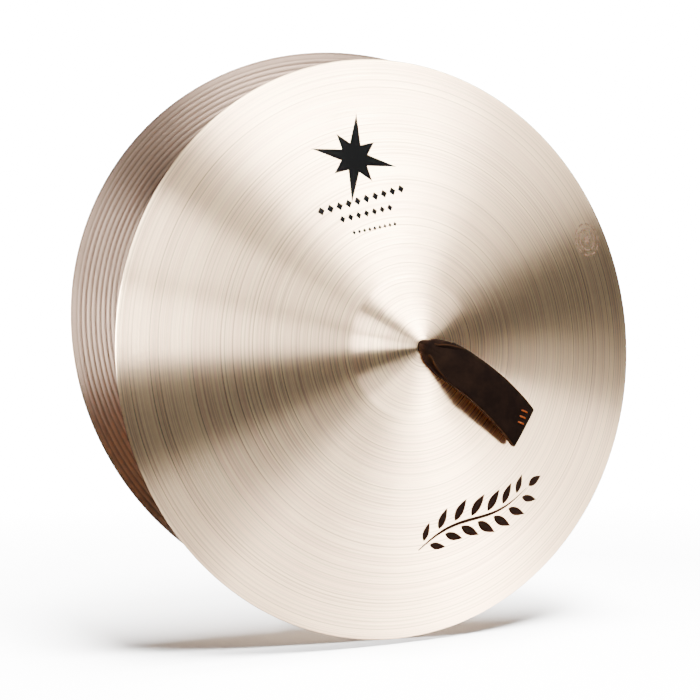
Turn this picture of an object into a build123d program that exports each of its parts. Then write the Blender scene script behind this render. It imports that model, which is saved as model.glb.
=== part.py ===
from build123d import *
import math
import os

# A pair of 20 inch hand cymbals, mouths facing, held a hand's width from meeting.
# Row frame, mm: origin where the front strap leaves the middle of the front bell.
# -Y runs out of the front bell, +Z is up, X is to the right seen from in front.

# plates
RIM_R = 254.0            # 20 in / 51 cm plate
BOW_RISE = 31.0          # bow height above the rim plane, carried on to the middle
BOW_POWER = 2.1
BELL_R = 62.0            # foot of the bell
BELL_RISE = 16.5         # bell above the bow
BELL_POWER = 1.35
HEIGHT = BOW_RISE + BELL_RISE
HOLE_R = 6.0
EDGE_T = 1.2             # thickness at the rim
BOW_T = 1.5
BELL_T = 2.2
PROFILE_STEPS = 18

# how the pair is held: the rear plate's rim centre and the V between the two mouths
REAR_CENTRE = (-13.0, 105.0, 27.5)
OPEN_ANGLE = 12.7        # between the two rim planes
CLOSE_SIDE = -33.0       # where the rims are nearest, degrees from +X towards +Z

# straps
LEATHER_T = 2.4
STRAP_W = 38.0
STRAP_LEN = 134.0        # middle of the hole to the fold
NECK_R = HOLE_R - 0.05   # the rolled tails fill the hole and still turn in it
FLARE_W = 18.0           # the strap opens at once above the hole, and is full width at FLARE_LEN
FLARE_LEN = 28.0
PIVOT_UP = 3.0           # middle of the bend above the bell top
PIVOT_GAP = 0.8
SLIT_NECK = 0.8          # gap between the two layers at the neck, and near the fold
SLIT_FOLD = 2.0
FRONT_STRAP_DIR = -33.0  # degrees from +X towards +Z, seen from in front
REAR_STRAP_SWING = 15.5  # the rear strap hangs plumb, clear of its plate

# knot inside the bell
KNOT_SIDE = 30.0
KNOT_T = 9.0
KNOT_TOP = 42.0          # above the rim plane
BOSS_R = 9.0
NECK_FOOT = 44.3
TAIL_W = 10.0
TAIL_T = 2.6
TAIL_SHIFT = 7.0         # the four ends leave the knot as a pinwheel


def bow(r):
    return BOW_RISE * (1 - (r / RIM_R) ** BOW_POWER)


def outer(r):
    bell = max(0.0, 1 - (r / BELL_R) ** 2) ** BELL_POWER
    return bow(r) + BELL_RISE * bell


def wall(r):
    if r < BELL_R:
        return BOW_T + (BELL_T - BOW_T) * (1 - r / BELL_R)
    return BOW_T + (EDGE_T - BOW_T) * (r - BELL_R) / (RIM_R - BELL_R)


def inner(r):
    return outer(r) - wall(r)


def unit(angle_deg):
    return math.cos(math.radians(angle_deg)), math.sin(math.radians(angle_deg))


def radii():
    bell = [HOLE_R + (BELL_R + 6 - HOLE_R) * i / PROFILE_STEPS for i in range(PROFILE_STEPS)]
    rest = [BELL_R + 6 + (RIM_R - BELL_R - 6) * i / 10 for i in range(11)]
    return bell + rest


# seats: origin at the rim centre, z out through the bell
front_seat = Plane(origin=(0, HEIGHT, 0), x_dir=(1, 0, 0), z_dir=(0, -1, 0))
lean = math.sin(math.radians(OPEN_ANGLE))
near_x, near_z = unit(CLOSE_SIDE)
rear_axis = Vector(lean * near_x, math.cos(math.radians(OPEN_ANGLE)), lean * near_z)
rear_x = rear_axis.cross(Vector(0, 0, 1)).normalized()
rear_seat = Plane(origin=REAR_CENTRE, x_dir=rear_x, z_dir=rear_axis)


def side_plane(seat, direction, lift=0.0):
    """The plane through the plate's axis: local x along direction, local y out of the bell."""
    start = seat.origin + seat.z_dir * lift
    return Plane(origin=start, x_dir=direction, z_dir=direction.cross(seat.z_dir))


def turn_plate(seat):
    with BuildSketch(side_plane(seat, seat.x_dir)) as profile:
        with BuildLine():
            top = Spline(*[(r, outer(r)) for r in radii()])
            bottom = Spline(*[(r, inner(r)) for r in radii()])
            Line(top @ 0, bottom @ 0)
            Line(top @ 1, bottom @ 1)
        make_face()
    revolve(profile.sketch, axis=Axis(seat.origin, seat.z_dir))


def roll_neck(seat):
    """The four tails rolled together: a plug through the hole with a round head outside."""
    head = HEIGHT + PIVOT_UP
    with Locations(seat.offset((NECK_FOOT + head) / 2)):
        Cylinder(radius=NECK_R, height=head - NECK_FOOT)
    with Locations(seat.offset(head)):
        Sphere(radius=NECK_R)


def fold_loop(place):
    """A strap folded on itself. place: origin at the bend, x along the strap, z away from the plate."""
    middle = [(0, 0.6), (20, 3.2), (45, 3.4), (68, 0.6), (100, -8.0), (STRAP_LEN - 4, -20.0)]
    layers = [LEATHER_T + (SLIT_NECK + (SLIT_FOLD - SLIT_NECK) * x / STRAP_LEN) / 2 for x, _ in middle]
    side = Plane(origin=place.origin, x_dir=place.x_dir, z_dir=-place.y_dir)
    with BuildSketch(side) as outline:
        with BuildLine():
            over = Spline(*[(x, z + t) for (x, z), t in zip(middle, layers)])
            under = Spline(*[(x, z - t) for (x, z), t in zip(middle, layers)])
            Line(over @ 0, under @ 0)
            ThreePointArc(over @ 1, (STRAP_LEN, middle[-1][1] - 0.4), under @ 1)
        make_face()
    extrude(outline.sketch, amount=STRAP_W / 2, both=True)
    with BuildSketch(place.offset(-40)) as plan:
        with BuildLine():
            for s in (1, -1):
                start, wide = (0, s * FLARE_W / 2), (FLARE_LEN, s * STRAP_W / 2)
                Spline(start, wide, tangents=((1, s * 0.7), (1, 0)))
                Line(wide, (STRAP_LEN - 3, s * STRAP_W / 2))
                Line((STRAP_LEN - 3, s * STRAP_W / 2), (STRAP_LEN + 1, s * (STRAP_W / 2 - 3)))
            Line((0, FLARE_W / 2), (0, -FLARE_W / 2))
            Line((STRAP_LEN + 1, STRAP_W / 2 - 3), (STRAP_LEN + 1, 3 - STRAP_W / 2))
        make_face()
    extrude(plan.sketch, amount=80, mode=Mode.INTERSECT)
    with BuildSketch(side) as slit:
        with BuildLine():
            open_at = [(x, z, t - LEATHER_T) for (x, z), t in zip(middle[2:], layers[2:])]
            over = Spline(*[(x, z + t) for x, z, t in open_at])
            under = Spline(*[(x, z - t) for x, z, t in open_at])
            ThreePointArc(over @ 0, (middle[2][0] - 0.6, middle[2][1]), under @ 0)
            ThreePointArc(over @ 1, (STRAP_LEN - 3.0, middle[-1][1] - 0.1), under @ 1)
        make_face()
    extrude(slit.sketch, amount=STRAP_W, both=True, mode=Mode.SUBTRACT)
    with Locations(place):
        Sphere(radius=NECK_R + PIVOT_GAP, mode=Mode.SUBTRACT)


def tie_knot(seat, direction):
    """The flat knot that bears on the inside of the bell, with its four cut ends."""
    place = Plane(origin=seat.origin, x_dir=direction, z_dir=seat.z_dir)
    with Locations(place.offset(KNOT_TOP - KNOT_T / 2)):
        Box(KNOT_SIDE, KNOT_SIDE, KNOT_T)
    fillet(edges(), 3.2)
    with Locations(place.offset((KNOT_TOP - 3 + NECK_FOOT) / 2)):
        Cylinder(radius=BOSS_R, height=NECK_FOOT - KNOT_TOP + 3)
    run = [(6, 37.2), (20, 36.4), (40, 30.5), (60, 23.5)]
    for quarter in range(4):
        along = direction.rotate(Axis((0, 0, 0), seat.z_dir), 90 * quarter)
        across = seat.z_dir.cross(along)
        start = seat.origin + across * TAIL_SHIFT
        with BuildSketch(Plane(origin=start, x_dir=along, z_dir=-across)) as tail:
            with BuildLine():
                over = Spline(*[(x, z + TAIL_T / 2) for x, z in run])
                under = Spline(*[(x, z - TAIL_T / 2) for x, z in run])
                Line(over @ 0, under @ 0)
                Line(over @ 1, under @ 1)
            make_face()
        extrude(tail.sketch, amount=TAIL_W / 2, both=True)


# strap frames: origin at the bend over the bell top
strap_x, strap_z = unit(FRONT_STRAP_DIR)
front_strap = Plane(
    origin=front_seat.origin + front_seat.z_dir * (HEIGHT + PIVOT_UP),
    x_dir=(strap_x, 0, strap_z),
    z_dir=front_seat.z_dir,
)
rear_down = (Vector(0, 0, -1) - rear_axis * rear_axis.dot(Vector(0, 0, -1))).normalized()
rear_swing_axis = rear_down.cross(rear_axis)
rear_bend = rear_seat.origin + rear_axis * (HEIGHT + PIVOT_UP)
rear_hang = rear_down.rotate(Axis((0, 0, 0), rear_swing_axis), REAR_STRAP_SWING)
rear_out = rear_axis.rotate(Axis((0, 0, 0), rear_swing_axis), REAR_STRAP_SWING)
rear_strap = Plane(origin=rear_bend, x_dir=rear_hang, z_dir=rear_out)

os.makedirs("parts", exist_ok=True)

with BuildPart() as front_plate:
    turn_plate(front_seat)
front_plate.part.label = "front_plate"
export_step(front_plate.part, "parts/front_plate.step")

with BuildPart() as front_strap_neck:
    roll_neck(front_seat)
front_strap_neck.part.label = "front_strap_neck"
export_step(front_strap_neck.part, "parts/front_strap_neck.step")

with BuildPart() as front_strap_loop:
    fold_loop(front_strap)
front_strap_loop.part.label = "front_strap_loop"
export_step(front_strap_loop.part, "parts/front_strap_loop.step")

with BuildPart() as front_strap_knot:
    tie_knot(front_seat, front_strap.x_dir)
front_strap_knot.part.label = "front_strap_knot"
export_step(front_strap_knot.part, "parts/front_strap_knot.step")

with BuildPart() as rear_plate:
    turn_plate(rear_seat)
rear_plate.part.label = "rear_plate"
export_step(rear_plate.part, "parts/rear_plate.step")

with BuildPart() as rear_strap_neck:
    roll_neck(rear_seat)
rear_strap_neck.part.label = "rear_strap_neck"
export_step(rear_strap_neck.part, "parts/rear_strap_neck.step")

with BuildPart() as rear_strap_loop:
    fold_loop(rear_strap)
rear_strap_loop.part.label = "rear_strap_loop"
export_step(rear_strap_loop.part, "parts/rear_strap_loop.step")

with BuildPart() as rear_strap_knot:
    tie_knot(rear_seat, rear_down)
rear_strap_knot.part.label = "rear_strap_knot"
export_step(rear_strap_knot.part, "parts/rear_strap_knot.step")
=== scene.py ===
import math
import random
from collections import namedtuple

import bmesh
import bpy
import numpy as np
from mathutils import Matrix, Vector


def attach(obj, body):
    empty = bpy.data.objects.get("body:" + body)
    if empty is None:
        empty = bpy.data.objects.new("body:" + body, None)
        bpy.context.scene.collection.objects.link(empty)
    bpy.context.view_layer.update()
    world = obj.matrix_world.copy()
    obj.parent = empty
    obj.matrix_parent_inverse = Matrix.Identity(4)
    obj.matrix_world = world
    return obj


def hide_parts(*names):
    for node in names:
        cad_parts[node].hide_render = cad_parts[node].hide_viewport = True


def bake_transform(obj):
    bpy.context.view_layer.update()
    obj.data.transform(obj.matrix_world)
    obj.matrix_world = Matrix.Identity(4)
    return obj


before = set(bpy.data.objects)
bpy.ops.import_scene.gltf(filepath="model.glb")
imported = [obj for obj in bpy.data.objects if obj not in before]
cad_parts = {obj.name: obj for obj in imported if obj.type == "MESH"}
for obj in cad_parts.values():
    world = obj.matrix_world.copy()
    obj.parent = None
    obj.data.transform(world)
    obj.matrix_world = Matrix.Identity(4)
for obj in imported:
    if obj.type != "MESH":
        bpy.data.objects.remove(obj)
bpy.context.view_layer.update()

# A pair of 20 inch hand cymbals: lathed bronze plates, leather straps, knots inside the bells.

MM = 0.001
Seat = namedtuple("Seat", "centre across up out")   # a plane's origin (mm) and its three directions

# ---------------------------------------------------------------- the plates' profile, mm
RIM_R = 254.0
BOW_RISE = 31.0
BOW_POWER = 2.1
BELL_R = 62.0
BELL_RISE = 16.5
BELL_POWER = 1.35
HEIGHT = BOW_RISE + BELL_RISE
HOLE_R = 6.0
EDGE_T = 1.2
BOW_T = 1.5
BELL_T = 2.2
SEGMENTS = 160           # round a plate
OUTER_PITCH = 3.3        # lathe bands on the outside
# FINE_PITCH spaces finer cut lines that exist only in colour, as dark lines of painted shade
FINE_PITCH = 2.35        # finer cut lines between the bands
INNER_PITCH = 4.3        # bolder ridges on the inside
OUTER_DEPTH = 0.05
INNER_DEPTH = 0.34
BANDS_FROM = 12.0
BANDS_TO = 250.0

# ---------------------------------------------------------------- straps, mm
LEATHER_T = 2.4
STRAP_LEN = 134.0
NECK_R = 5.9
PIVOT_UP = 3.0
SLIT_NECK = 0.8
SLIT_FOLD = 2.0
ARCH = ((0, 0.6), (20, 3.2), (45, 3.4), (68, 0.6), (100, -8.0), (130, -20.0))   # along, away from plate
NECK_TUBE = NECK_R - LEATHER_T / 2
SPREAD_AT = (0, 3, 6, 10, 15, 25, 37, 60, 90, 134)          # how the rolled neck opens into a flat strap
SPREAD_W = (13.8, 16.5, 21.5, 25.0, 28.5, 33.5, 34.6, 35.2, 37.0, 39.6)
SPREAD_CURL = (168, 145, 116, 92, 72, 38, 18, 12, 9, 3)
SWAY_AT = (0, 12, 33, 55, 84, 117, 134)                     # the strap curves gently sideways
SWAY = (0.0, 0.3, 1.6, 2.5, 2.7, 1.6, 0.2)
FRONT_STRAP_DIR = -33.0
REAR_STRAP_SWING = 15.5
OPEN_ANGLE = 12.7
CLOSE_SIDE = -33.0
REAR_CENTRE = (-13.0, 105.0, 27.5)

# knots
THONG_T = 2.4
THONG_SHIFT = 7.0
KNOT_SEED = 20           # how far each cut end sways


def unit(angle_deg):
    return math.cos(math.radians(angle_deg)), math.sin(math.radians(angle_deg))


def smooth(t):
    t = np.clip(t, 0.0, 1.0)
    return t * t * (3 - 2 * t)


def rear_out():
    lean = math.sin(math.radians(OPEN_ANGLE))
    near_x, near_z = unit(CLOSE_SIDE)
    return Vector((lean * near_x, math.cos(math.radians(OPEN_ANGLE)), lean * near_z)).normalized()


def seat_on(centre, across, out):
    return Seat(Vector(centre), Vector(across), Vector(out).cross(Vector(across)), Vector(out))


FRONT = seat_on((0, HEIGHT, 0), (1, 0, 0), (0, -1, 0))
REAR = seat_on(REAR_CENTRE, rear_out().cross(Vector((0, 0, 1))).normalized(), rear_out())


def place(seat, x, y, z):
    """Local mm on a seat to row metres, as an array of points."""
    axes = np.array([seat.across, seat.up, seat.out], float)
    local = np.stack(np.broadcast_arrays(x, y, z), axis=-1).astype(float)
    return (local @ axes + np.array(seat.centre)) * MM


def outer(r):
    bell = np.maximum(0.0, 1 - (r / BELL_R) ** 2) ** BELL_POWER
    return BOW_RISE * (1 - (r / RIM_R) ** BOW_POWER) + BELL_RISE * bell


def wall(r):
    on_bell = BOW_T + (BELL_T - BOW_T) * (1 - r / BELL_R)
    on_bow = BOW_T + (EDGE_T - BOW_T) * (r - BELL_R) / (RIM_R - BELL_R)
    return np.where(r < BELL_R, on_bell, on_bow)


# ---------------------------------------------------------------- meshes
def add_object(name, data):
    """A new object in the scene, from a mesh, a lamp or a camera."""
    made = bpy.data.objects.new(name, data)
    bpy.context.scene.collection.objects.link(made)
    return made


def mesh_object(name, verts, faces, smooth_faces=True):
    mesh = bpy.data.meshes.new(name)
    mesh.from_pydata([tuple(v) for v in verts], [], faces)
    mesh.update()
    if smooth_faces:
        mesh.polygons.foreach_set("use_smooth", [True] * len(mesh.polygons))
    return add_object(name, mesh)


def ring_faces(rings, around):
    """Quads between neighbouring closed rings of points."""
    faces = []
    for i in range(rings - 1):
        for k in range(around):
            n = (k + 1) % around
            faces.append((i * around + k, i * around + n, (i + 1) * around + n, (i + 1) * around + k))
    return faces


def end_caps(rings, around):
    """One face over each end of a stack of rings."""
    return [tuple(range(around)), tuple(range((rings - 1) * around, rings * around))]


def add_values(piece, name, kind, values):
    """Stores one value per vertex: kind FLOAT or FLOAT_VECTOR."""
    field = "value" if kind == "FLOAT" else "vector"
    attribute = piece.data.attributes.new(name, kind, "POINT")
    attribute.data.foreach_set(field, np.asarray(values, np.float32).ravel())


def fix_normals(piece):
    edit = bmesh.new()
    edit.from_mesh(piece.data)
    bmesh.ops.recalc_face_normals(edit, faces=edit.faces)
    edit.to_mesh(piece.data)
    edit.free()


def band_radii(pitch, phases):
    """Radii from the hole to the rim with a ring at each phase of each lathe band."""
    count = int((BANDS_TO - BANDS_FROM) / pitch)
    bands = [BANDS_FROM + pitch * (k + p) for k in range(count) for p in phases]
    return np.array([HOLE_R + 0.6, HOLE_R + 2.5, HOLE_R + 4.5] + bands + [BANDS_TO + 0.6, RIM_R - 1.6])


def taper(r):
    return smooth((r - BANDS_FROM) / 12) * smooth((BANDS_TO - r) / 2)


def plate_profile():
    """The closed outline of half a section: outside from hole to rim, then back inside. Radius, height."""
    out_r = band_radii(OUTER_PITCH, (0.0, 0.25, 0.5, 0.75))
    in_r = band_radii(INNER_PITCH, (0.0, 0.14, 0.38, 0.62, 0.86))
    turns = 2 * math.pi * (out_r - BANDS_FROM) / OUTER_PITCH
    strength = 0.65 + 0.35 * np.sin(out_r * 0.21) * np.sin(out_r * 0.083 + 1)
    out_h = outer(out_r) - OUTER_DEPTH * taper(out_r) * strength * (1 - np.cos(turns)) / 2
    ridge = np.abs(np.sin(math.pi * (in_r - BANDS_FROM) / INNER_PITCH))
    in_h = outer(in_r) - wall(in_r) - INNER_DEPTH * taper(in_r) * (ridge - 0.5)
    rim = [(RIM_R - 0.6, EDGE_T * 0.93), (RIM_R - 0.12, EDGE_T * 0.72), (RIM_R, EDGE_T * 0.3),
           (RIM_R, -EDGE_T * 0.3), (RIM_R - 0.12, -EDGE_T * 0.72), (RIM_R - 0.6, -EDGE_T * 0.93)]
    rim = [(r, h / 2 - EDGE_T * 0.5 + outer(r)) for r, h in rim]
    lip_top = float(outer(HOLE_R)) - 0.02
    lip_low = float(outer(HOLE_R) - wall(HOLE_R))
    hole = [(HOLE_R + 0.15, lip_low + 0.15), (HOLE_R, lip_low + 0.6), (HOLE_R, lip_top - 0.6),
            (HOLE_R + 0.15, lip_top - 0.15)]
    return list(zip(out_r, out_h)) + rim + list(zip(in_r[::-1], in_h[::-1])) + hole


def turn_plate(name, seat):
    """A lathed plate with a polar UV map (angle, radius) for the direction of the lathe lines."""
    profile = np.array(plate_profile())
    rings = len(profile)
    angles = 2 * math.pi * np.arange(SEGMENTS) / SEGMENTS
    r = np.repeat(profile[:, 0], SEGMENTS)
    h = np.repeat(profile[:, 1], SEGMENTS)
    a = np.tile(angles, rings)
    # a hammered plate is never quite true: waves of a few hundredths of a mm
    wobble = 0.05 * np.sin(3 * a + r * 0.021) + 0.035 * np.sin(7 * a - r * 0.034)
    wobble = wobble + 0.02 * np.sin(13 * a + r * 0.05)
    h = h + wobble * smooth((r - 70) / 60) * smooth((RIM_R - r) / 20)
    x, y = r * np.cos(a), r * np.sin(a)
    verts = place(seat, x, y, h)
    faces = []
    for i in range(rings):
        k = (i + 1) % rings
        for j in range(SEGMENTS):
            n = (j + 1) % SEGMENTS
            faces.append((i * SEGMENTS + j, k * SEGMENTS + j, k * SEGMENTS + n, i * SEGMENTS + n))
    piece = mesh_object(name, verts, faces)
    uv = piece.data.uv_layers.new(name="polar")
    around = np.tile(np.arange(SEGMENTS), rings)
    u0 = around / SEGMENTS
    u1 = (around + 1) / SEGMENTS
    v0 = np.repeat(profile[:, 0], SEGMENTS) / RIM_R
    v1 = np.repeat(np.roll(profile[:, 0], -1), SEGMENTS) / RIM_R
    loops = np.stack([u0, v0, u0, v1, u1, v1, u1, v0], axis=-1)
    uv.data.foreach_set("uv", loops.ravel().astype(np.float32))
    add_values(piece, "spin", "FLOAT_VECTOR", np.stack([np.cos(a), np.sin(a), r / RIM_R], axis=-1))
    add_values(piece, "local", "FLOAT_VECTOR", np.stack([x, y, h], axis=-1) * MM)
    add_values(piece, "inside", "FLOAT", np.clip((outer(r) - h) / wall(r) * 2 - 0.6, 0, 1))
    return piece


def ribbon(stations, thickness):
    """A strip of leather. Each station: centre, outward normal, across, width, curl (radians), cut (0 to 1).

    A cut station has a groove down its middle, where the thongs part.
    Returns points (mm), faces, and per point: distance along, distance across, edge mark and side.
    """
    half_t = thickness / 2
    wide = (-0.86, -0.6, -0.34, -0.12, -0.04, 0.0, 0.04, 0.12, 0.34, 0.6, 0.86)
    points, marks = [], []
    along = 0.0
    before = None
    for centre, normal, across, width, curl, cut in stations:
        if before is not None:
            along += (centre - before).length
        before = centre
        curl = max(curl, 0.02)
        bend = width / curl
        inset = half_t * 0.8 / (width / 2)
        top = [(-1 + inset, 1.0)] + [(u * (1 - inset), 1.0) for u in wide] + [(1 - inset, 1.0)]
        edge = [(1 - inset * 0.35, 0.78), (1.0, 0.3), (1.0, -0.3), (1 - inset * 0.35, -0.78)]
        loop = top + edge + [(u, -1.0) for u, _ in reversed(top)] + [(-u, -o) for u, o in edge]
        for u, o in loop:
            dip = 0.34 * cut * math.exp(-(u / 0.05) ** 2)
            turn = u * curl / 2
            radius = bend + o * half_t * (1 - dip)
            p = centre + across * (radius * math.sin(turn)) + normal * (radius * math.cos(turn) - bend)
            points.append(p)
            is_edge = 1.0 if abs(o) < 0.9 else 0.0
            marks.append((along, u * width / 2, is_edge, 1.0 if o > 0 else -1.0))
    size = len(loop)
    count = len(stations)
    faces = ring_faces(count, size)
    for base in (0, (count - 1) * size):
        for j in range(1, size // 2):
            faces.append((base + j, base + j + 1, base + size - j - 1, base + (size - j) % size))
    return points, faces, marks


def leather_piece(name, ribbons):
    """Joins ribbons, given in row mm, into one object with its leather coordinates."""
    verts, faces, marks = [], [], []
    for points, quads, mark in ribbons:
        shift = len(verts)
        verts += [p * MM for p in points]
        faces += [tuple(shift + i for i in q) for q in quads]
        marks += mark
    piece = mesh_object(name, verts, faces)
    along, across, edge, side = np.array(marks).T
    add_values(piece, "hide", "FLOAT_VECTOR", np.stack([along, across, side * 5], axis=-1) * MM)
    add_values(piece, "edge", "FLOAT", edge)
    fix_normals(piece)
    return piece


# ---------------------------------------------------------------- strap
arch_curve = np.polynomial.Polynomial.fit([x for x, _ in ARCH], [z for _, z in ARCH], 5)
arch_slope = arch_curve.deriv()


def slit(x):
    """The gap between the two layers, x mm along the strap."""
    return SLIT_NECK + (SLIT_FOLD - SLIT_NECK) * x / STRAP_LEN


def bezier(p0, p1, p2, p3, count):
    out = []
    for i in range(count):
        t = i / count
        s = 1 - t
        out.append(p0 * s**3 + p1 * 3 * s * s * t + p2 * 3 * s * t * t + p3 * t**3)
    return out


def layer_line(side):
    """The middle line of one layer of the loop, (along, away), from inside the hole towards the fold."""
    start_x = -side * NECK_TUBE
    leave = 13.0 if side > 0 else 17.0

    def offset(x):
        return side * (LEATHER_T / 2 + slit(x) / 2)

    first = Vector((start_x, -6.2))
    bend = Vector((start_x, -3.2 if side > 0 else -4.2))
    last = Vector((leave, float(arch_curve(leave)) + offset(leave)))
    slope = Vector((1, float(arch_slope(leave)))).normalized()
    reach = 7.5 if side > 0 else 6.0
    line = [first] + bezier(bend, bend + Vector((0, reach)), last - slope * 8, last, 10)
    end_x = STRAP_LEN - 3.4
    steps = 34
    for i in range(steps + 1):
        x = leave + (end_x - leave) * i / steps
        line.append(Vector((x, float(arch_curve(x)) + offset(x))))
    return line


def strap_stations(seat):
    """Stations of the whole strap: out of the hole, along the outer layer, round the fold and back."""
    upper = layer_line(1)
    lower = layer_line(-1)
    top_end, low_end = upper[-1], lower[-1]
    hub = (top_end + low_end) / 2
    radius = (top_end - low_end).length / 2
    start = math.atan2(top_end.y - hub.y, top_end.x - hub.x)
    fold = [hub + Vector((math.cos(start - math.pi * k / 7), math.sin(start - math.pi * k / 7))) * radius
            for k in range(1, 7)]
    line = upper + fold + lower[::-1]
    stations = []
    for i, p in enumerate(line):
        ahead = line[min(i + 1, len(line) - 1)]
        behind = line[max(i - 1, 0)]
        tangent = (ahead - behind).normalized()
        normal2 = Vector((-tangent.y, tangent.x))
        from_hole = p.x + NECK_TUBE if i < len(upper) else p.x - NECK_TUBE
        width = float(np.interp(from_hole, SPREAD_AT, SPREAD_W))
        curl = math.radians(float(np.interp(from_hole, SPREAD_AT, SPREAD_CURL)))
        sway = float(np.interp(p.x, SWAY_AT, SWAY))
        cut = 1 - float(smooth((p.x - 8) / 10))
        centre = seat.centre + seat.across * p.x + seat.up * sway + seat.out * p.y
        normal = seat.across * normal2.x + seat.out * normal2.y
        stations.append((centre, normal, seat.up, width, curl, cut))
    return stations


def strap_seats():
    """Each strap's frame: origin at the bend over the bell, across along the strap, out off the plate."""
    strap_x, strap_z = unit(FRONT_STRAP_DIR)
    front = seat_on(FRONT.centre + FRONT.out * (HEIGHT + PIVOT_UP), (strap_x, 0, strap_z), FRONT.out)
    down = Vector((0, 0, -1)) - REAR.out * REAR.out.dot(Vector((0, 0, -1)))
    down.normalize()
    turn = Matrix.Rotation(math.radians(REAR_STRAP_SWING), 3, down.cross(REAR.out))
    rear = seat_on(REAR.centre + REAR.out * (HEIGHT + PIVOT_UP), turn @ down, turn @ REAR.out)
    return front, rear, down


def stitch(seat, start, end, radius):
    """One thread stitch lying on the strap's outer layer, from start to end (along, across)."""
    rings, around = 9, 10
    points, marks = [], []
    flow = Vector((end[0] - start[0], end[1] - start[1])).normalized()
    for i in range(rings):
        t = i / (rings - 1)
        x, y = start[0] + (end[0] - start[0]) * t, start[1] + (end[1] - start[1]) * t
        swell = math.sqrt(max(0.0, 1 - (2 * t - 1) ** 4))
        top = float(arch_curve(x)) + LEATHER_T + slit(x) / 2 + radius * (0.9 * swell - 0.55)
        side = float(np.interp(x, SWAY_AT, SWAY)) + y
        for k in range(around):
            a, b = unit(360 * k / around)
            wide = radius * (0.25 + 0.75 * swell)
            shift = Vector((-flow.y, flow.x)) * (a * wide)
            points.append(seat.centre + seat.across * (x + shift.x) + seat.up * (side + shift.y)
                          + seat.out * (top + b * wide))
            marks.append((x, y, 0.0, 1.0))
    return points, ring_faces(rings, around) + end_caps(rings, around), marks


# ---------------------------------------------------------------- knot
def thong_line():
    """One thong of the knot, (along, height over the rim plane): under one, over the next, then out."""
    return [(-15.5, 41.2), (-14.5, 38.8), (-11, 37.9), (-6, 38.2), (-2, 37.2), (2, 34.9), (6, 34.0), (10, 34.2),
            (14.5, 36.0), (18, 36.6), (23, 35.9), (30, 33.9), (38, 31.3), (46, 28.6), (54, 25.8), (60, 23.4)]


def knot_ribbons(seat, along, rng):
    made = []
    for quarter in range(4):
        turn = Matrix.Rotation(math.radians(90 * quarter), 3, seat.out)
        forward = turn @ along
        sideways = seat.out.cross(forward)
        stations = []
        line = thong_line()
        sway = rng.uniform(-1.6, 1.6)
        for i, (x, h) in enumerate(line):
            ahead = Vector(line[min(i + 1, len(line) - 1)])
            behind = Vector(line[max(i - 1, 0)])
            tangent = (ahead - behind).normalized()
            out_tail = float(smooth((x - 16) / 40))
            shift = THONG_SHIFT + sway * out_tail
            width = (13.0 - 3.0 * float(smooth((x - 8) / 10))) - 1.5 * float(smooth((x - 50) / 12))
            centre = seat.centre + forward * x + sideways * shift + seat.out * h
            normal = forward * tangent.y - seat.out * tangent.x
            stations.append((centre, normal, sideways, width, 0.25 * (1 - out_tail), 0.0))
        made.append(ribbon(stations, THONG_T))
    return made


def collar(seat):
    """The thongs packed round the hole under the bell: a ring with four lobes."""
    rows = [(6.1, 44.2), (7.8, 44.0), (8.8, 43.0), (9.2, 41.5), (9.0, 40.0), (7.0, 39.4), (3.0, 39.2)]
    count = 40
    points, marks = [], []
    for r, h in rows:
        for k in range(count):
            a = 2 * math.pi * k / count
            lobed = r * (1 - 0.05 * (1 - abs(math.cos(2 * a))))
            around = seat.across * (lobed * math.cos(a)) + seat.up * (lobed * math.sin(a))
            points.append(seat.centre + around + seat.out * h)
            marks.append((r, a * r, 0.0, 1.0))
    return points, ring_faces(len(rows), count) + end_caps(len(rows), count), marks


# ---------------------------------------------------------------- flat marks on the front plate
def slab(name, outlines, seat, lift=0.13, sink=0.10, cell=5.0):
    """Thin printed shapes that follow the plate. Each outline is a list of (x, y) on the plate, mm."""
    edit = bmesh.new()
    for outline in outlines:
        face = edit.faces.new([edit.verts.new((x, y, 0)) for x, y in outline])
        face.normal_update()
    bmesh.ops.triangulate(edit, faces=edit.faces)
    xs = [v.co.x for v in edit.verts]
    ys = [v.co.y for v in edit.verts]
    for axis, values in ((0, xs), (1, ys)):
        line = math.floor(min(values) / cell) * cell
        while line < max(values):
            where = Vector((line, 0, 0)) if axis == 0 else Vector((0, line, 0))
            way = Vector((1, 0, 0)) if axis == 0 else Vector((0, 1, 0))
            everything = edit.verts[:] + edit.edges[:] + edit.faces[:]
            bmesh.ops.bisect_plane(edit, geom=everything, plane_co=where, plane_no=way)
            line += cell
    made = bmesh.ops.extrude_face_region(edit, geom=edit.faces[:])
    raised = {v for v in made["geom"] if isinstance(v, bmesh.types.BMVert)}
    for v in edit.verts:
        h = float(outer(math.hypot(v.co.x, v.co.y))) + (lift if v in raised else -sink)
        v.co = Vector(place(seat, v.co.x, v.co.y, h).tolist())
    bmesh.ops.recalc_face_normals(edit, faces=edit.faces)
    mesh = bpy.data.meshes.new(name)
    edit.to_mesh(mesh)
    edit.free()
    return add_object(name, mesh)


def leaf(x0, y0, length, width, tilt_deg):
    """A pointed leaf from its foot at x0, y0."""
    c, s = unit(tilt_deg)
    upper = [(length * k / 12, width / 2 * math.sin(math.pi * (k / 12) ** 0.8)) for k in range(13)]
    lower = [(x, -y * 0.8) for x, y in reversed(upper[1:-1])]
    return [(x0 + x * c - y * s, y0 + x * s + y * c) for x, y in upper + lower]


def star(cx, cy, radii, rays, tilt_deg):
    """A star whose corners step through radii, rays times round."""
    count = rays * len(radii)
    turns = [unit(tilt_deg + 360 * k / count) for k in range(count)]
    return [(cx + radii[k % len(radii)] * a, cy + radii[k % len(radii)] * b) for k, (a, b) in enumerate(turns)]


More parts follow.
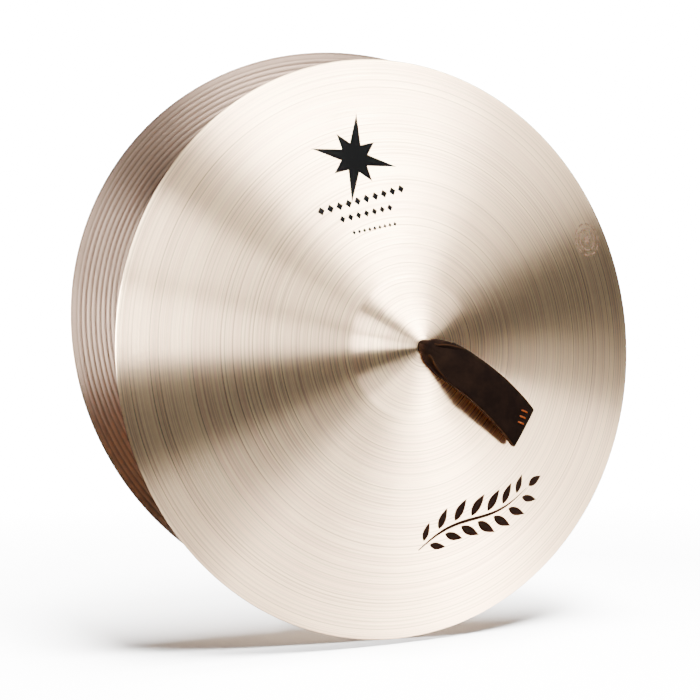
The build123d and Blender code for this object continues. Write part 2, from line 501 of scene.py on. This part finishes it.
def lozenge_row(start, end, count, width, height):
    """A row of diamonds from start to end."""
    tilt = math.degrees(math.atan2(end[1] - start[1], end[0] - start[0]))
    c, s = unit(tilt)
    row = []
    for k in range(count):
        t = k / (count - 1)
        x, y = start[0] + (end[0] - start[0]) * t, start[1] + (end[1] - start[1]) * t
        corners = ((width / 2, 0), (0, height / 2), (-width / 2, 0), (0, -height / 2))
        row.append([(x + a * c - b * s, y + a * s + b * c) for a, b in corners])
    return row


def garland(start, end, pairs, leaf_length, leaf_width):
    """A waving stem with leaves on both sides, and a bud at its end."""
    dx, dy = end[0] - start[0], end[1] - start[1]
    length = math.hypot(dx, dy)
    tilt = math.degrees(math.atan2(dy, dx))
    c, s = unit(tilt)

    def on_stem(t, off=0.0):
        wave = 5.0 * math.sin(2 * math.pi * t) + off
        return start[0] + dx * t - wave * s, start[1] + dy * t + wave * c

    steps = 36
    half = [1.3 * math.sin(math.pi * (0.08 + 0.92 * k / steps)) + 0.25 for k in range(steps + 1)]
    upper = [on_stem(k / steps, h) for k, h in enumerate(half)]
    lower = [on_stem(k / steps, -h) for k, h in enumerate(half)]
    made = [upper + lower[::-1]]
    for k in range(pairs):
        t = 0.06 + 0.84 * k / (pairs - 1)
        lean = 10 * math.cos(2 * math.pi * t)
        size = 0.75 + 0.35 * math.sin(math.pi * t)
        for side in (1, -1):
            x, y = on_stem(t + (0.035 if side < 0 else 0.0), side * 3.4)
            made.append(leaf(x, y, leaf_length * size, side * leaf_width * size, tilt + lean + side * 42))
    x, y = on_stem(1.02)
    made.append(leaf(x, y, leaf_length * 0.8, leaf_width, tilt + 8))
    return made


def ring_parts(cx, cy, r, thick, parts, fill):
    """A broken ring: arcs that cover the share fill of each part."""
    made = []
    for k in range(parts):
        first = 360 * k / parts
        span = 360 / parts * fill
        outside = [unit(first + span * t / 8) for t in range(9)]
        made.append([(cx + (r + thick / 2) * a, cy + (r + thick / 2) * b) for a, b in outside]
                    + [(cx + (r - thick / 2) * a, cy + (r - thick / 2) * b) for a, b in reversed(outside)])
    return made


# ---------------------------------------------------------------- materials
def new_material(name):
    material = bpy.data.materials.new(name)
    material.use_nodes = True
    tree = material.node_tree
    return material, tree, tree.nodes["Principled BSDF"]


def node(tree, kind, **values):
    made = tree.nodes.new(kind)
    for key, value in values.items():
        if key in made.inputs:
            made.inputs[key].default_value = value
        else:
            setattr(made, key, value)
    return made


def math_node(tree, operation, a, b=0.0, clamp=False):
    made = tree.nodes.new("ShaderNodeMath")
    made.operation = operation
    made.use_clamp = clamp
    for slot, value in zip(made.inputs, (a, b)):
        if isinstance(value, (int, float)):
            slot.default_value = value
        else:
            tree.links.new(value, slot)
    return made.outputs[0]


def mix_colour(tree, factor, a, b):
    made = tree.nodes.new("ShaderNodeMix")
    made.data_type = "RGBA"
    for slot, value in ((made.inputs[0], factor), (made.inputs[6], a), (made.inputs[7], b)):
        if isinstance(value, (int, float)):
            slot.default_value = value
        elif isinstance(value, tuple):
            slot.default_value = (*value, 1.0)
        else:
            tree.links.new(value, slot)
    return made.outputs[2]


def ramp(tree, value, low, high):
    made = tree.nodes.new("ShaderNodeMapRange")
    made.inputs["From Min"].default_value = low
    made.inputs["From Max"].default_value = high
    tree.links.new(value, made.inputs["Value"])
    return made.outputs["Result"]


def lathe_noise(tree, spin, per_radius, round_scale, detail):
    """Noise in rings: fast along the radius, slow round the plate."""
    scaled = node(tree, "ShaderNodeVectorMath", operation="MULTIPLY")
    scaled.inputs[1].default_value = (round_scale, round_scale, per_radius)
    tree.links.new(spin, scaled.inputs[0])
    noise = node(tree, "ShaderNodeTexNoise", Scale=1.0, Detail=detail, Roughness=0.6)
    tree.links.new(scaled.outputs[0], noise.inputs["Vector"])
    return noise.outputs["Fac"]


def ring_lines(tree, spin, pitch, start, sharp):
    """Thin rings, 1 on the line and 0 between, every pitch mm of radius from start."""
    parts = node(tree, "ShaderNodeSeparateXYZ")
    tree.links.new(spin, parts.inputs[0])
    turns = math_node(tree, "MULTIPLY", parts.outputs["Z"], math.pi * RIM_R / pitch)
    turns = math_node(tree, "SUBTRACT", turns, math.pi * start / pitch)
    return math_node(tree, "POWER", math_node(tree, "ABSOLUTE", math_node(tree, "COSINE", turns)), sharp)


def bronze(name, base, deep, painted_inside_shade, roughness, fine):
    """Lathed cast bronze: anisotropic along the lathe lines, grooves at three scales, with painted shade
    darkening the lathe grooves and the whole inside face.
    """
    material, tree, shader = new_material(name)
    spin = node(tree, "ShaderNodeAttribute", attribute_name="spin").outputs["Vector"]
    local = node(tree, "ShaderNodeAttribute", attribute_name="local").outputs["Vector"]
    bands = lathe_noise(tree, spin, 74.0, 0.25, 3.0)
    lines = lathe_noise(tree, spin, 260.0, 0.5, 2.0)
    hair = lathe_noise(tree, spin, 900.0, 1.4, 1.0)
    coarse = math_node(tree, "MULTIPLY", bands, 0.10)
    middle = math_node(tree, "MULTIPLY", lines, 0.06)
    small = math_node(tree, "MULTIPLY", hair, fine)
    height = math_node(tree, "ADD", math_node(tree, "ADD", coarse, middle), small)
    cloud = node(tree, "ShaderNodeTexNoise", Scale=9.0, Detail=4.0, Roughness=0.55)
    tree.links.new(local, cloud.inputs["Vector"])
    speck = node(tree, "ShaderNodeTexNoise", Scale=420.0, Detail=2.0, Roughness=0.5)
    tree.links.new(local, speck.inputs["Vector"])
    patina = ramp(tree, cloud.outputs["Fac"], 0.35, 0.75)
    # painted shade: the colour darkens towards the deep colour where the lathe-line noise, which also lowers
    # the bump there, is low
    groove = ramp(tree, lines, 0.38, 0.62)
    tone = mix_colour(tree, groove, deep, base)
    warm = tuple(c * k for c, k in zip(base, (0.97, 0.93, 0.86)))
    tone = mix_colour(tree, math_node(tree, "MULTIPLY", patina, 0.35), tone, warm)
    dots = ramp(tree, speck.outputs["Fac"], 0.74, 0.80)
    tone = mix_colour(tree, math_node(tree, "MULTIPLY", dots, 0.35), tone, deep)
    # painted shade: the inside face is mixed most of the way to a dark colour, standing in for the shade in the
    # hollow between the plates
    inside = node(tree, "ShaderNodeAttribute", attribute_name="inside").outputs["Fac"]
    tone = mix_colour(tree, math_node(tree, "MULTIPLY", inside, 0.8), tone, painted_inside_shade)
    # painted shade: dark rings at the bottom of each lathe groove outside and inside, plus finer dark lines
    # between the outside bands, mixed towards a third of the deep colour
    wide = ring_lines(tree, spin, OUTER_PITCH, BANDS_FROM + OUTER_PITCH / 2, 9.0)
    narrow = math_node(tree, "MULTIPLY", ring_lines(tree, spin, FINE_PITCH, BANDS_FROM, 5.0), 0.6)
    outside_line_shade = math_node(tree, "ADD", wide, narrow)
    outside_line_shade = math_node(tree, "MULTIPLY", outside_line_shade, ramp(tree, bands, 0.36, 0.60))
    on_outside = math_node(tree, "SUBTRACT", 0.50, inside, clamp=True)
    outside_line_shade = math_node(tree, "MULTIPLY", outside_line_shade, on_outside)
    inside_line_shade = math_node(tree, "MULTIPLY", ring_lines(tree, spin, INNER_PITCH, BANDS_FROM, 5.0), inside)
    cut = math_node(tree, "ADD", outside_line_shade, math_node(tree, "MULTIPLY", inside_line_shade, 0.75), clamp=True)
    tone = mix_colour(tree, cut, tone, tuple(c * 0.35 for c in deep))
    tree.links.new(tone, shader.inputs["Base Color"])
    shader.inputs["Metallic"].default_value = 1.0
    rough = math_node(tree, "MULTIPLY_ADD", lines, 0.08)
    rough.node.inputs[2].default_value = roughness - 0.04
    tree.links.new(rough, shader.inputs["Roughness"])
    shader.inputs["Anisotropic"].default_value = 1.0
    shader.inputs["Anisotropic Rotation"].default_value = 0.25
    tangent = node(tree, "ShaderNodeTangent", direction_type="UV_MAP", uv_map="polar")
    tree.links.new(tangent.outputs[0], shader.inputs["Tangent"])
    bump = node(tree, "ShaderNodeBump", Strength=1.0, Distance=MM)
    tree.links.new(height, bump.inputs["Height"])
    tree.links.new(bump.outputs[0], shader.inputs["Normal"])
    return material


def leather(name, base, worn, edge_tone_and_highlight):
    """Strap leather: fine grain, creases, darker and lighter areas, cut edges lighter in a raw-leather colour
    that also serves as a painted highlight along them.
    """
    material, tree, shader = new_material(name)
    hide = node(tree, "ShaderNodeAttribute", attribute_name="hide").outputs["Vector"]
    edge = node(tree, "ShaderNodeAttribute", attribute_name="edge").outputs["Fac"]
    cloud = node(tree, "ShaderNodeTexNoise", Scale=55.0, Detail=5.0, Roughness=0.6)
    grain = node(tree, "ShaderNodeTexVoronoi", Scale=1500.0)
    pores = node(tree, "ShaderNodeTexNoise", Scale=2600.0, Detail=2.0)
    crease = node(tree, "ShaderNodeTexNoise", Scale=260.0, Detail=3.0, Distortion=1.2)
    for made in (cloud, grain, pores, crease):
        tree.links.new(hide, made.inputs["Vector"])
    rubbed = ramp(tree, cloud.outputs["Fac"], 0.40, 0.72)
    tone = mix_colour(tree, rubbed, base, worn)
    # the cut edges are lighter: partly raw leather colour, partly a painted highlight along the strap's edges
    tone = mix_colour(tree, math_node(tree, "MULTIPLY", edge, 0.85), tone, edge_tone_and_highlight)
    tree.links.new(tone, shader.inputs["Base Color"])
    rough = math_node(tree, "MULTIPLY_ADD", crease.outputs["Fac"], 0.25)
    rough.node.inputs[2].default_value = 0.46
    tree.links.new(rough, shader.inputs["Roughness"])
    shader.inputs["Specular IOR Level"].default_value = 0.015
    cells = math_node(tree, "MULTIPLY", grain.outputs["Distance"], 0.6)
    height = math_node(tree, "ADD", cells, math_node(tree, "MULTIPLY", crease.outputs["Fac"], 0.5))
    height = math_node(tree, "ADD", height, math_node(tree, "MULTIPLY", pores.outputs["Fac"], 0.2))
    bump = node(tree, "ShaderNodeBump", Strength=0.35, Distance=0.0004)
    tree.links.new(height, bump.inputs["Height"])
    tree.links.new(bump.outputs[0], shader.inputs["Normal"])
    return material


def ink(name, colour, roughness, wear, metal=0.0):
    """Printed ink: slightly uneven cover."""
    material, tree, shader = new_material(name)
    where = node(tree, "ShaderNodeTexCoord")
    noise = node(tree, "ShaderNodeTexNoise", Scale=160.0, Detail=4.0)
    tree.links.new(where.outputs["Object"], noise.inputs["Vector"])
    thin = ramp(tree, noise.outputs["Fac"], 0.55, 0.85)
    lighter = tuple(min(1.0, c * 2.2 + 0.02) for c in colour)
    tone = mix_colour(tree, math_node(tree, "MULTIPLY", thin, wear), colour, lighter)
    tree.links.new(tone, shader.inputs["Base Color"])
    shader.inputs["Roughness"].default_value = roughness
    shader.inputs["Metallic"].default_value = metal
    shader.inputs["Specular IOR Level"].default_value = 0.12
    bump = node(tree, "ShaderNodeBump", Strength=0.2, Distance=0.0002)
    tree.links.new(noise.outputs["Fac"], bump.inputs["Height"])
    tree.links.new(bump.outputs[0], shader.inputs["Normal"])
    return material


def pale_floor(name, colour, glow):
    """White floor that takes the pair's soft shadow near it and glows like the backdrop further out."""
    material, tree, shader = new_material(name)
    shader.inputs["Base Color"].default_value = (*colour, 1)
    shader.inputs["Roughness"].default_value = 0.9
    shader.inputs["Emission Color"].default_value = (1, 1, 1, 1)
    where = node(tree, "ShaderNodeNewGeometry")
    away = node(tree, "ShaderNodeVectorMath", operation="LENGTH")
    tree.links.new(where.outputs["Position"], away.inputs[0])
    share = ramp(tree, away.outputs["Value"], GLOW_FROM, GLOW_TO)
    tree.links.new(math_node(tree, "MULTIPLY", share, glow), shader.inputs["Emission Strength"])
    return material


def glowing_wall(name, colour, glow):
    """The backdrop."""
    material, tree, shader = new_material(name)
    shader.inputs["Base Color"].default_value = (*colour, 1)
    shader.inputs["Roughness"].default_value = 0.9
    shader.inputs["Emission Color"].default_value = (*colour, 1)
    shader.inputs["Emission Strength"].default_value = glow
    return material


# ---------------------------------------------------------------- camera
CAMERA_AT = (-0.5523, -0.9532, -0.0229)
CAMERA_AZIMUTH = 26.83
CAMERA_RISE = 1.09
CAMERA_ROLL = -0.55
CAMERA_LENS = 66.86


def add_camera():
    camera = add_object("camera", bpy.data.cameras.new("camera"))
    camera.data.lens = CAMERA_LENS
    camera.data.sensor_width = 36.0
    camera.data.clip_start = 0.01
    camera.data.clip_end = 100.0
    x, y = math.sin(math.radians(CAMERA_AZIMUTH)), math.cos(math.radians(CAMERA_AZIMUTH))
    rise = math.radians(CAMERA_RISE)
    look = Vector((x * math.cos(rise), y * math.cos(rise), math.sin(rise)))
    right = look.cross(Vector((0, 0, 1))).normalized()
    level = right.cross(look)
    c, s = unit(CAMERA_ROLL)
    side, top = right * c + level * s, level * c - right * s
    turned = Matrix((side, top, -look)).transposed().to_4x4()
    camera.matrix_world = Matrix.Translation(CAMERA_AT) @ turned
    bpy.context.scene.camera = camera


# ---------------------------------------------------------------- light and stage
def area_light(name, at, aim, width, height, power):
    data = bpy.data.lights.new(name, "AREA")
    data.shape = "RECTANGLE"
    data.size = width
    data.size_y = height
    data.energy = power
    lamp = add_object(name, data)
    lamp.location = at
    lamp.rotation_mode = "QUATERNION"
    lamp.rotation_quaternion = (Vector(aim) - Vector(at)).to_track_quat("-Z", "Y")
    lamp.visible_camera = False
    return lamp


FLOOR_Z = -(RIM_R + 5.0) * MM
ROOM_R = 7.0
ROOM_TOP = 5.0
AMBIENT = 0.12
WALL_GLOW = 24.0
GLOW_FROM = 0.7          # the floor's glow starts here, m from the row's origin, and is full at GLOW_TO
GLOW_TO = 2.8


def backdrop_only(piece):
    """Keeps the room's glow off the object, so that the lamps alone shape it."""
    piece.visible_diffuse = False
    piece.visible_glossy = False
    piece.visible_shadow = False


def add_stage():
    world = bpy.data.worlds.new("world")
    bpy.context.scene.world = world
    world.use_nodes = True
    world.node_tree.nodes["Background"].inputs["Color"].default_value = (1, 1, 1, 1)
    world.node_tree.nodes["Background"].inputs["Strength"].default_value = AMBIENT
    count = 96
    circle = [unit(360 * k / count) for k in range(count)]
    rim = [(ROOM_R * a, ROOM_R * b, FLOOR_Z) for a, b in circle]
    floor = mesh_object("floor", rim, [tuple(range(count))], smooth_faces=False)
    floor.data.materials.append(pale_floor("floor_paint", (0.86, 0.86, 0.86), WALL_GLOW))
    top = [(ROOM_R * a, ROOM_R * b, ROOM_TOP) for a, b in circle]
    sides = [(k, (k + 1) % count, count + (k + 1) % count, count + k) for k in range(count)]
    room = mesh_object("room_wall", rim + top, sides)
    room.data.materials.append(glowing_wall("room_paint", (1, 1, 1), WALL_GLOW))
    for piece in (floor, room):
        backdrop_only(piece)


# soft boxes that shape the metal: name, turned from -Y towards +X and raised, in degrees, and watts
SOFT_BOXES = (
    ("high_left", -47, 28, 90),
    ("left", -63, 8, 45),
    ("far_left", -81, 8, 400),
    ("high_middle", 7, 28, 8),
    ("high_front", 27, 28, 170),
    ("overhead", -3, 50, 90),
    ("high_right", 47, 28, 16),
    ("high_side", 67, 28, 12),
    ("low_left", -28, -35, 14),
    ("low_front", 5, -35, 30),
    ("low_middle", 27, -35, 35),
    ("low_right", 49, -35, 72),
    ("right", 45, -14, 45),
    ("back_high", 165, 30, 150),
    ("back_left", -150, 5, 60),
    ("back_low", -165, -35, 60),
    ("back_right", 130, 10, 60),
)
BOX_AWAY = 2.6
BOX_SIZE = (0.8, 0.9)
# washes light the floor alone and cast the soft shadow; the fill lights leather, thread and ink
WASHES = (("wash_top", 0, 84, 900), ("wash_front", -6, 62, 1100))
WASH_AWAY = 3.0
WASH_SIZE = (1.1, 1.1)
WASH_AIM = (0, 0.07, FLOOR_Z)
FILL = ("fill", 10, 35, 45)
FILL_SIZE = (1.2, 1.2)


def towards(turn, rise, away):
    side, ahead = math.sin(math.radians(turn)), -math.cos(math.radians(turn))
    level = math.cos(math.radians(rise))
    return Vector((side * level, ahead * level, math.sin(math.radians(rise)))) * away


def light_only(lamps, name, pieces):
    """Links lamps to the given pieces, as flags and grids do on a studio set."""
    lit = bpy.data.collections.new(name)
    for piece in pieces:
        lit.objects.link(piece)
    for lamp in lamps:
        lamp.light_linking.receiver_collection = lit


def set_up(rows, away, size, aim=(0, 0, 0)):
    """One lamp for each row of name, turn, rise and watts, aimed at the given point."""
    return [area_light(name, towards(turn, rise, away), aim, *size, watts) for name, turn, rise, watts in rows]


def add_lights(metal, dark):
    light_only(set_up(SOFT_BOXES, BOX_AWAY, BOX_SIZE), "lit_metal", metal)
    light_only(set_up(WASHES, WASH_AWAY, WASH_SIZE, WASH_AIM), "lit_floor", [bpy.data.objects["floor"]])
    light_only(set_up([FILL], BOX_AWAY, FILL_SIZE), "lit_dark", dark)


# ---------------------------------------------------------------- the object
add_camera()

# each bronze: base colour, deep colour for painted groove shade and specks, dark colour for the inside face's
# painted shade, roughness, fine bump
front_bronze = bronze("bronze_front", (0.95, 0.72, 0.44), (0.82, 0.55, 0.36), (0.30, 0.21, 0.16), 0.31, 0.10)
rear_bronze = bronze("bronze_rear", (0.92, 0.70, 0.50), (0.62, 0.44, 0.33), (0.34, 0.23, 0.175), 0.32, 0.07)
strap_leather = leather("strap_leather", (0.034, 0.019, 0.015), (0.062, 0.033, 0.022), (0.10, 0.048, 0.026))
black_ink = ink("black_ink", (0.0035, 0.0035, 0.004), 0.5, 0.2)
brown_ink = ink("brown_ink", (0.055, 0.026, 0.017), 0.5, 0.3)
etched = ink("etched_mark", (0.11, 0.065, 0.04), 0.62, 0.4, metal=1.0)
orange_thread = ink("orange_thread", (0.95, 0.22, 0.06), 0.7, 0.2)

metal_pieces = []
for side, seat, metal in (("front", FRONT, front_bronze), ("rear", REAR, rear_bronze)):
    plate = turn_plate(side + "_cymbal", seat)
    plate.data.materials.append(metal)
    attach(plate, side + "_plate")
    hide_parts(side + "_plate")
    metal_pieces.append(plate)
dark_pieces = []

front_strap_seat, rear_strap_seat, rear_down = strap_seats()
for side, strap_seat in (("front", front_strap_seat), ("rear", rear_strap_seat)):
    strap = leather_piece(side + "_strap", [ribbon(strap_stations(strap_seat), LEATHER_T)])
    strap.data.materials.append(strap_leather)
    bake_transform(strap)
    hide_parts(side + "_strap_neck", side + "_strap_loop")
    dark_pieces.append(strap)

rng = random.Random(KNOT_SEED)
for side, seat, along in (("front", FRONT, front_strap_seat.across), ("rear", REAR, rear_down)):
    knot = leather_piece(side + "_knot", knot_ribbons(seat, along, rng) + [collar(seat)])
    knot.data.materials.append(strap_leather)
    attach(knot, side + "_neck")
    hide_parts(side + "_strap_knot")
    dark_pieces.append(knot)

# printed and etched marks: plain ornaments
marks = (
    ("top_star", [star(-49, 162, (40, 13, 25, 13), 4, 82)], black_ink),
    ("top_rows", lozenge_row((-83, 114), (-7, 137), 10, 6.6, 7.6)
     + lozenge_row((-64, 108), (-19, 120), 7, 5.6, 6.4)
     + lozenge_row((-54, 97), (-15, 106), 9, 3.4, 4.0), black_ink),
    ("low_garland", garland((10, -176), (124, -127), 7, 21, 8.5), brown_ink),
    ("etched_ring", ring_parts(203, 103, 15, 1.6, 10, 0.62) + ring_parts(203, 103, 10, 1.6, 6, 0.8)
     + [star(203, 103, (6.5, 2.2), 6, 15)], etched),
)
for name, outlines, finish in marks:
    mark = slab(name, outlines, FRONT)
    mark.data.materials.append(finish)
    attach(mark, "front_plate")
    (metal_pieces if finish is etched else dark_pieces).append(mark)

# the coloured mark at the fold of the front strap
threads = [stitch(front_strap_seat, (117 + 1.5 * k, 8 - 5 * k), (127 + 1.5 * k, 12 - 5 * k), 0.85)
           for k in range(3)]
stitches = leather_piece("front_strap_stitches", threads)
stitches.data.materials.append(orange_thread)
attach(stitches, "front_loop")
dark_pieces.append(stitches)

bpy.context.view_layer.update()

add_stage()
add_lights(metal_pieces, dark_pieces)
